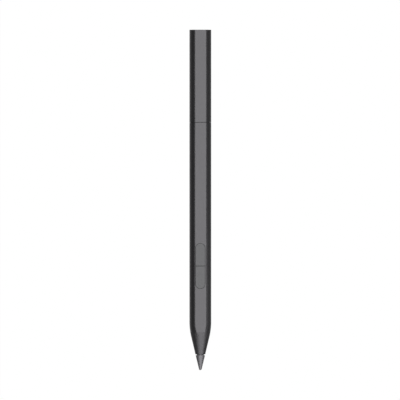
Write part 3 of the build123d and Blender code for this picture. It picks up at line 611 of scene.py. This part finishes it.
def make_contacts():
    """Two rows of thin strips, one on each side of the tongue."""
    bm = bmesh.new()
    bottom = tongue_low.z + BASE_THICKNESS
    top = tongue_high.z - CONTACT_INSET
    first_y = (tongue_low.y + tongue_high.y) / 2 - (CONTACT_COUNT - 1) / 2 * CONTACT_PITCH
    bmesh.ops.create_cube(bm, size=1)
    bmesh.ops.scale(bm, verts=bm.verts, vec=(2 * CONTACT_PROUD, CONTACT_WIDTH, top - bottom))
    bmesh.ops.translate(bm, verts=bm.verts, vec=(TONGUE_HALF, first_y, (bottom + top) / 2))
    bmesh.ops.bevel(
        bm, geom=bm.edges[:], offset=CONTACT_PROUD / 2, offset_type="OFFSET", affect="EDGES",
        segments=1, profile=0.5, material=-1,
    )
    strip = bm.verts[:] + bm.edges[:] + bm.faces[:]
    for number in range(1, CONTACT_COUNT):
        copy = bmesh.ops.duplicate(bm, geom=strip)["geom"]
        corners = [part for part in copy if isinstance(part, bmesh.types.BMVert)]
        bmesh.ops.translate(bm, verts=corners, vec=(0, number * CONTACT_PITCH, 0))
    row = bm.verts[:] + bm.edges[:] + bm.faces[:]
    bmesh.ops.mirror(bm, geom=row, axis="X", merge_dist=0)
    return finish_mesh(bm, "port_contacts", lift=0)


contacts = make_contacts()
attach(contacts, "body")

# %% [markdown]
# Materials come next. One helper turns an sRGB hex colour to the linear values that shaders work in, by the
# constants of the sRGB standard, and one adds a node with its settings and links. A third lets a pattern show
# the way real grain does: in the colour, the gloss and the relief at once. Patterns read Object coordinates,
# which are metres here, so a pattern's scale is one over the real size of its grain.

# %% Material helpers
def colour(code):
    """Linear colour, with alpha, of an sRGB hex value."""
    channels = [int(code[place:place + 2], 16) / 255 for place in (1, 3, 5)]
    linear = [c / 12.92 if c <= 0.04045 else ((c + 0.055) / 1.055) ** 2.4 for c in channels]
    return (*linear, 1.0)


def add_node(tree, kind, links=None, **settings):
    """Add a node, set its properties, then feed each input from a socket or set its value."""
    node = tree.nodes.new(kind)
    for name, value in settings.items():
        setattr(node, name, value)
    for name, source in (links or {}).items():
        if isinstance(source, bpy.types.NodeSocket):
            tree.links.new(source, node.inputs[name])
        else:
            node.inputs[name].default_value = source
    return node


def new_finish(name, sockets=None):
    """Material with the values that are the same all over, its tree and the piece's own coordinates."""
    material = bpy.data.materials.new(name)
    material.use_nodes = True
    tree = material.node_tree
    for socket, value in (sockets or {}).items():
        tree.nodes["Principled BSDF"].inputs[socket].default_value = value
    return material, tree, add_node(tree, "ShaderNodeTexCoord").outputs["Object"]


def paint(material, *names):
    """Give pieces or nodes this one material."""
    for name in names:
        mesh = bpy.data.objects[name].data
        mesh.materials.clear()
        mesh.materials.append(material)
    print(material.name, "on", ", ".join(names))


# %% Grain in colour, gloss and relief
PATTERN_LOW = 0.3
PATTERN_HIGH = 0.7
BUMP_STRENGTH = 0.4


def show_grain(tree, pattern, shades, rough, relief_mm):
    """Spread the middle of a pattern's range over two shades, two roughnesses and a height."""
    shader = tree.nodes["Principled BSDF"]
    ramp = add_node(tree, "ShaderNodeValToRGB", {"Fac": pattern})
    stops = zip(ramp.color_ramp.elements, (PATTERN_LOW, PATTERN_HIGH), shades)
    for stop, position, code in stops:
        stop.position = position
        stop.color = colour(code)
    span = {"From Min": PATTERN_LOW, "From Max": PATTERN_HIGH, "To Min": rough[0], "To Max": rough[1]}
    gloss = add_node(tree, "ShaderNodeMapRange", {"Value": pattern, **span})
    relief = {"Height": pattern, "Strength": BUMP_STRENGTH, "Distance": relief_mm * MM}
    bump = add_node(tree, "ShaderNodeBump", relief)
    tree.links.new(ramp.outputs["Color"], shader.inputs["Base Color"])
    tree.links.new(gloss.outputs["Result"], shader.inputs["Roughness"])
    tree.links.new(bump.outputs["Normal"], shader.inputs["Normal"])


# %% [markdown]
# Barrel and cap are aluminium, blasted with fine glass beads and then anodised a graphite grey. The beads
# leave shallow dimples, so the metal has no mirror in it: it shows the lights as soft-edged bands. A bare
# metal shader with a fine noise in colour, gloss and relief does that.

# %% Blasted aluminium
# Bead dimples are about 0.05 mm wide. They are drawn more than twice as coarse, or they would not show.
BEAD_MM = 0.12
graphite, tree, place = new_finish("bead-blasted graphite anodised aluminium", {"Metallic": 1.0})
dimples = {"Vector": place, "Scale": 1 / (BEAD_MM * MM), "Detail": 2.0}
blasted = add_node(tree, "ShaderNodeTexNoise", dimples).outputs["Fac"]
show_grain(tree, blasted, shades=("#575658", "#616062"), rough=(0.33, 0.4), relief_mm=0.004)
paint(graphite, "barrel_tube", "cap_tube")

# %% [markdown]
# Nose and keys are moulded in plastic that lets radio through, and painted to match the metal. The paint is
# full of tiny flakes that lie at slightly different angles. Voronoi cells with a random value each stand for
# the flakes: every cell gets its own shade, gloss and height.

# %% Metallic paint
# Flakes are 0.02 to 0.04 mm wide. A cell of 0.08 mm is the finest that still shows.
FLAKE_MM = 0.08


def flake_paint(name, shades, rough):
    """Metallic paint over moulded plastic."""
    material, tree, place = new_finish(name, {"Metallic": 1.0})
    flakes = add_node(tree, "ShaderNodeTexVoronoi", {"Vector": place, "Scale": 1 / (FLAKE_MM * MM)})
    shade = add_node(tree, "ShaderNodeSeparateColor", {"Color": flakes.outputs["Color"]}).outputs["Red"]
    show_grain(tree, shade, shades, rough, relief_mm=0.002)
    return material


nose_paint = flake_paint(
    "satin graphite paint on moulded polycarbonate", shades=("#545355", "#5b5a5c"), rough=(0.41, 0.47),
)
paint(nose_paint, "nose_taper", "cap_end_plug_soft")
key_paint = flake_paint("graphite paint on moulded ABS", shades=("#555556", "#5e5e5f"), rough=(0.34, 0.4))
paint(key_paint, "front_key_cap", "rear_key_cap")

# %% [markdown]
# The nib is moulded in acetal, a hard and slippery plastic, with a fine metal pigment that gives the grey a
# dry sheen, so its shader is partly metallic. Writing polishes its ball, so the gloss rises over the last
# millimetre: the grain's roughness is multiplied by a ramp along the nib.

# %% Nib plastic
NIB_GRAIN_MM = 0.15
POLISHED_LENGTH = 1.2 * MM
POLISHED_SHARE = 0.6
nib_plastic, tree, place = new_finish("moulded grey acetal with metal pigment", {"Metallic": 0.7})
pigment = {"Vector": place, "Scale": 1 / (NIB_GRAIN_MM * MM), "Detail": 2.0}
grain = add_node(tree, "ShaderNodeTexNoise", pigment).outputs["Fac"]
show_grain(tree, grain, shades=("#6a696c", "#717073"), rough=(0.41, 0.47), relief_mm=0.001)
along = add_node(tree, "ShaderNodeSeparateXYZ", {"Vector": place}).outputs["Y"]
polish_end = nib_low.y + POLISHED_LENGTH
polish = {"Value": along, "From Min": nib_low.y, "From Max": polish_end, "To Min": POLISHED_SHARE}
worn = add_node(tree, "ShaderNodeMapRange", polish).outputs["Result"]
roughness = tree.nodes["Principled BSDF"].inputs["Roughness"]
grain_gloss = roughness.links[0].from_socket
gloss = add_node(tree, "ShaderNodeMath", {0: grain_gloss, 1: worn}, operation="MULTIPLY")
tree.links.new(gloss.outputs["Value"], roughness)
paint(nib_plastic, "nib_turned")

# %% [markdown]
# The plain plastics differ in colour and in the skin of their tools. Spark-eroded tools give the black parts
# a fine leathery matt, acetal is waxy and smooth, silicone is dull and soft to look at, and the ceramics are
# dry and chalky. One noise with the grit of each tool serves them all.

# %% Moulded plastics and ceramics
def moulded(name, grit_mm, shades, rough, relief_mm):
    """Plastic or ceramic with the grit of its tool."""
    material, tree, place = new_finish(name)
    skin = {"Vector": place, "Scale": 1 / (grit_mm * MM), "Detail": 3.0}
    grit = add_node(tree, "ShaderNodeTexNoise", skin).outputs["Fac"]
    show_grain(tree, grit, shades, rough, relief_mm)
    return material


polyamide = moulded(
    "black polyamide from a spark-eroded mould",
    grit_mm=0.15, shades=("#1a1a1b", "#242425"), rough=(0.48, 0.6), relief_mm=0.012,
)
paint(polyamide, "tail_sleeve_soft", "port_tongue_soft", "chassis", "magnet_carrier", "sensor_housing")
paint(polyamide, "sensor_cap", "board_connector")
epoxy = moulded(
    "moulded black epoxy", grit_mm=0.08, shades=("#161617", "#1e1e20"), rough=(0.55, 0.65), relief_mm=0.004,
)
paint(epoxy, "controller_chip", "power_chip", "front_switch", "rear_switch")
acetal = moulded(
    "moulded white acetal", grit_mm=0.3, shades=("#dddbd2", "#e6e4dc"), rough=(0.3, 0.4), relief_mm=0.002,
)
paint(acetal, "guide_bush", "front_plunger", "rear_plunger")
silicone = moulded(
    "moulded grey silicone", grit_mm=0.2, shades=("#8c8c8f", "#959598"), rough=(0.55, 0.65), relief_mm=0.004,
)
paint(silicone, "sensor_pad_soft")
alumina = moulded(
    "fired alumina without glaze",
    grit_mm=0.1, shades=("#d8d3c6", "#e2ded3"), rough=(0.6, 0.7), relief_mm=0.004,
)
paint(alumina, "antenna", "pressure_sensor")

# %% [markdown]
# Turned metal keeps the rings of the tool, which spread every highlight into a thin line across the part.
# Bands of a wave along the pen's axis draw the rings, and a little distortion keeps them from looking
# printed.

# %% Turned brass
# The feed of a fine cut is 0.05 mm a turn. The rings are drawn at 0.12 mm, or they would melt into a grey.
FEED_MM = 0.12
# At a scale of one, Blender's wave repeats after this length in metres.
WAVE_LENGTH = 2 * pi / 20
brass, tree, place = new_finish("turned brass", {"Metallic": 1.0})
rings = {"Vector": place, "Scale": WAVE_LENGTH / (FEED_MM * MM), "Distortion": 0.6, "Detail": 1.0}
cut = add_node(tree, "ShaderNodeTexWave", rings, bands_direction="Y").outputs["Fac"]
show_grain(tree, cut, shades=("#bd954e", "#d0a85d"), rough=(0.2, 0.3), relief_mm=0.003)
paint(brass, "nib_holder", "tilt_electrode")

# %% [markdown]
# Wire, strip and pressed sheet were drawn through a die or between rollers, which leaves long faint streaks.
# A noise squeezed by a Mapping node is short across the pen and long along it.

# %% Drawn and rolled metals
STREAK_MM = 0.1
STREAK_STRETCH = 0.06


def rolled(name, shades, rough):
    """Bright metal with streaks along the pen."""
    material, tree, place = new_finish(name, {"Metallic": 1.0})
    squeeze = {"Vector": place, "Scale": (1.0, STREAK_STRETCH, 1.0)}
    squeezed = add_node(tree, "ShaderNodeMapping", squeeze).outputs["Vector"]
    streaks = {"Vector": squeezed, "Scale": 1 / (STREAK_MM * MM), "Detail": 2.0}
    streaked = add_node(tree, "ShaderNodeTexNoise", streaks).outputs["Fac"]
    show_grain(tree, streaked, shades, rough, relief_mm=0.001)
    return material


steel = rolled("drawn spring steel", shades=("#a5a5a7", "#b9b9bb"), rough=(0.2, 0.3))
paint(steel, "return_spring_soft", "detent_spring", "board_screws", "port_shell_soft")
nickel = rolled("nickel-plated rolled steel", shades=("#c6c3bb", "#d3d0c9"), rough=(0.16, 0.24))
paint(nickel, "magnets", "battery_tabs")
gold = rolled("gold-plated rolled copper", shades=("#d9b45f", "#e6c26d"), rough=(0.16, 0.24))
paint(gold, "port_contacts")

# %% [markdown]
# The boards are glass laminate under green solder mask. Copper tracks lie under the mask and make it a little
# lighter and higher where they run, so bands of a wave, bent by distortion, draw them. The flex cable is
# amber film with straight tracks.

# %% Boards and flex film
TRACK_MM = 0.5


def tracked(name, bend, shades, rough):
    """Insulator with copper tracks under its skin."""
    material, tree, place = new_finish(name)
    tracks = {"Vector": place, "Scale": WAVE_LENGTH / (TRACK_MM * MM), "Distortion": bend, "Detail": 0.0}
    band = add_node(tree, "ShaderNodeTexWave", tracks, bands_direction="X").outputs["Fac"]
    show_grain(tree, band, shades, rough, relief_mm=0.01)
    return material


mask = tracked(
    "green solder mask on glass laminate", bend=3.0, shades=("#12371f", "#1a4d2c"), rough=(0.3, 0.4),
)
paint(mask, "main_board", "port_board")
film = tracked("amber polyimide film", bend=0.0, shades=("#a06a27", "#b98238"), rough=(0.25, 0.35))
paint(film, "flex_cable", "sensor_flex")

# %% [markdown]
# The cell is wrapped in shrunk film, smooth with faint wrinkles. A coarse noise, distorted so that it folds,
# draws them, and a thin coat gives the film's own shine.

# %% Battery wrap
WRINKLE_MM = 1.2
wrap, tree, place = new_finish("heat-shrunk grey polyester film", {"Coat Weight": 0.3})
wrinkles = {"Vector": place, "Scale": 1 / (WRINKLE_MM * MM), "Detail": 1.0, "Distortion": 0.8}
wrinkled = add_node(tree, "ShaderNodeTexNoise", wrinkles).outputs["Fac"]
show_grain(tree, wrinkled, shades=("#6d7683", "#788190"), rough=(0.3, 0.4), relief_mm=0.01)
paint(wrap, "battery_cell")

# %% [markdown]
# The charge light's peg is clear acrylic that is a touch milky, so that the light behind it spreads. A soft
# noise gives the haze.

# %% Clear peg
HAZE_MM = 0.3
clear, tree, place = new_finish("moulded milky acrylic", {"Transmission Weight": 0.6, "IOR": 1.49})
haze = {"Vector": place, "Scale": 1 / (HAZE_MM * MM), "Detail": 1.0}
hazy = add_node(tree, "ShaderNodeTexNoise", haze).outputs["Fac"]
show_grain(tree, hazy, shades=("#dfe5e8", "#eef2f3"), rough=(0.2, 0.3), relief_mm=0.001)
paint(clear, "charge_light_soft")

# %% [markdown]
# The pen lies on white paper that is lit from behind, so it reads as pure white and no shadow falls on it. A
# photographer keeps such a bright sheet out of dark metal with black flags. Here the sheet is hidden from the
# pen's reflections instead, and the surroundings give back the faint glow that it leaves along the pen's
# sides.

# %% White paper
PAPER_SIZE = 6.0
PAPER_CELLS = 8
FIBRE_MM = 2.0
bm = bmesh.new()
bmesh.ops.create_grid(bm, x_segments=PAPER_CELLS, y_segments=PAPER_CELLS, size=PAPER_SIZE / 2)
paper = finish_mesh(bm, "white_paper", lift=0)
paper.visible_glossy = False
paper.visible_diffuse = False
backlit = {"Specular IOR Level": 0.0, "Emission Color": colour("#ffffff"), "Emission Strength": 1.0}
paper_white, tree, place = new_finish("backlit white paper", backlit)
fibres = {"Vector": place, "Scale": 1 / (FIBRE_MM * MM), "Detail": 3.0}
fibrous = add_node(tree, "ShaderNodeTexNoise", fibres).outputs["Fac"]
show_grain(tree, fibrous, shades=("#010101", "#020202"), rough=(0.85, 0.95), relief_mm=0.02)
paint(paper_white, "white_paper")

# %% [markdown]
# The surroundings are a dim room, a little paler on the right. They are drawn with nodes of the world,
# because a real room around so small a pen would only be seen as two or three soft gradients.

# %% Dim room
DARK_SIDE = 0.115
PALE_SIDE = 0.185
world = bpy.data.worlds.new("studio")
bpy.context.scene.world = world
world.use_nodes = True
sky = world.node_tree
sky.nodes.clear()
direction = add_node(sky, "ShaderNodeTexCoord").outputs["Generated"]
heading = add_node(sky, "ShaderNodeSeparateXYZ", {"Vector": direction}).outputs
across = {"Value": heading["X"], "From Min": -1.0, "From Max": 1.0}
sides = {**across, "To Min": DARK_SIDE, "To Max": PALE_SIDE}
room = add_node(sky, "ShaderNodeMapRange", sides).outputs["Result"]
print(f"room: {DARK_SIDE} on the left, {PALE_SIDE} on the right")

# %% [markdown]
# The room brightens towards the two ends of the pen, which the camera above never sees reflected in the
# barrel but every slanting view does. Below the level of the paper it has the paper's glow, stronger on the
# left.

# %% Brighter ends and the paper's glow
END_GLOW = 0.35
END_FOCUS = 4.0
GLOW_LEFT = 0.8
GLOW_RIGHT = 0.25
GLOW_FOCUS = 2.0
focus = {0: heading["Y"], 1: END_FOCUS}
endwards = add_node(sky, "ShaderNodeMath", focus, operation="POWER").outputs["Value"]
ends = {0: endwards, 1: END_GLOW, 2: room}
with_ends = add_node(sky, "ShaderNodeMath", ends, operation="MULTIPLY_ADD").outputs["Value"]
below = {0: heading["Z"], 1: 0.0}
downwards = add_node(sky, "ShaderNodeMath", below, operation="MINIMUM").outputs["Value"]
steepness = {0: downwards, 1: GLOW_FOCUS}
steep = add_node(sky, "ShaderNodeMath", steepness, operation="POWER").outputs["Value"]
sheet = {**across, "To Min": GLOW_LEFT, "To Max": GLOW_RIGHT}
paper_glow = add_node(sky, "ShaderNodeMapRange", sheet).outputs["Result"]
glow = {0: steep, 1: paper_glow, 2: with_ends}
strength = add_node(sky, "ShaderNodeMath", glow, operation="MULTIPLY_ADD").outputs["Value"]
print(f"glow: {END_GLOW} at the ends, {GLOW_LEFT} and {GLOW_RIGHT} below")

# %% [markdown]
# Only the pen sees that room. To the camera the backdrop is as white as the sheet, so that no horizon shows.

# %% White backdrop
reflected = add_node(sky, "ShaderNodeBackground", {"Color": colour("#fefefe"), "Strength": strength})
backdrop = add_node(sky, "ShaderNodeBackground", {"Color": colour("#ffffff"), "Strength": 1.0})
seen = add_node(sky, "ShaderNodeLightPath").outputs["Is Camera Ray"]
both = {0: seen, 1: reflected.outputs["Background"], 2: backdrop.outputs["Background"]}
mixed = add_node(sky, "ShaderNodeMixShader", both).outputs["Shader"]
add_node(sky, "ShaderNodeOutputWorld", {"Surface": mixed})
print("surroundings:", len(sky.nodes), "nodes")

# %% [markdown]
# One large soft box hangs over the pen. The flat mirrors it whole, and its edges make the sharp change from
# the pale flat to the dark sides. Towards the nib a wing on each side makes the box wider. Only the cone
# leans far enough to mirror the wings, so its bright stripe is broader. A lamp's power follows from the
# brightness that a mirror would show, so that boxes of any size match.

# %% Soft box over the pen
BOX_HEIGHT = 1.3
BOX_WIDTH = 1.86
BOX_LENGTH = 4.0
BOX_RADIANCE = 1.69
BOX_SHIFT = 0.22
LEFT_WING = -0.95
LEFT_WIDTH = 0.5
RIGHT_WING = 1.75
RIGHT_WIDTH = 1.1
WING_PLACE = -1.05
WING_LENGTH = 0.9


def soft_box(name, place, width, length, radiance):
    """Rectangular soft light along the pen that faces its axis."""
    light = bpy.data.lights.new(name, "AREA")
    light.shape = "RECTANGLE"
    light.size = width
    light.size_y = length
    light.energy = radiance * pi * width * length
    lamp = bpy.data.objects.new(name, light)
    bpy.context.scene.collection.objects.link(lamp)
    lamp.location = place
    lamp.rotation_euler = (0, atan2(place[0], place[2] - AXIS_HEIGHT), 0)
    lamp.visible_camera = False
    print(f"{name}: {light.energy:.2f} W")


soft_box("overhead", (BOX_SHIFT, 0, BOX_HEIGHT), BOX_WIDTH, BOX_LENGTH, BOX_RADIANCE)
soft_box("left_wing", (LEFT_WING, WING_PLACE, BOX_HEIGHT), LEFT_WIDTH, WING_LENGTH, BOX_RADIANCE)
soft_box("right_wing", (RIGHT_WING, WING_PLACE, BOX_HEIGHT), RIGHT_WIDTH, WING_LENGTH, BOX_RADIANCE)

# %% [markdown]
# Two more boxes off the ends of the pen stay out of the flat's mirror as seen from above, and light the pen
# for every slanting view. A small card stands low on the right near the nib, and lifts the right side there.

# %% Boxes off the ends, and a card
NIB_END = -4.2
TAIL_END = 3.0
END_WIDTH = 8.0
END_LENGTH = 3.6
END_RADIANCE = 1.7
CARD_PLACE = (0.2, -0.045, 0.06)
CARD_WIDTH = 0.12
CARD_LENGTH = 0.05
CARD_RADIANCE = 0.5
soft_box("nib_end", (0, NIB_END, BOX_HEIGHT), END_WIDTH, END_LENGTH, END_RADIANCE)
soft_box("tail_end", (0, TAIL_END, BOX_HEIGHT), END_WIDTH, END_LENGTH, END_RADIANCE)
soft_box("right_card", CARD_PLACE, CARD_WIDTH, CARD_LENGTH, CARD_RADIANCE)

# %% [markdown]
# The outline in the photograph is parallel from end to end, so the lens is long. The camera looks straight
# down with the nib at the bottom of the picture. The pen's length and middle in pixels set its distance and
# its place.

# %% Camera
FRAME_PIXELS = 400
PEN_PIXELS = 340.31
PEN_MIDDLE_PIXEL = (200.33, 199.975)
LENS = 1000
SENSOR_WIDTH = 36
PIXEL = (cad_box[1].y - cad_box[0].y) / PEN_PIXELS
camera_data = bpy.data.cameras.new("camera")
camera_data.lens = LENS
camera_data.sensor_width = SENSOR_WIDTH
camera = bpy.data.objects.new("camera", camera_data)
bpy.context.scene.collection.objects.link(camera)
distance = FRAME_PIXELS * PIXEL * LENS / SENSOR_WIDTH
camera.location = (
    (FRAME_PIXELS / 2 - PEN_MIDDLE_PIXEL[0]) * PIXEL,
    (PEN_MIDDLE_PIXEL[1] - FRAME_PIXELS / 2) * PIXEL,
    AXIS_HEIGHT + distance,
)
bpy.context.scene.camera = camera
bpy.context.scene.view_settings.view_transform = "Standard"
print(f"camera {distance:.3f} m above the axis, {PIXEL / MM:.4f} mm per pixel")

# %% [markdown]
# Looks must not change the pen's size. This last cell only prints that the dressing is done.

# %% End of the dressing
print("pen dressed")
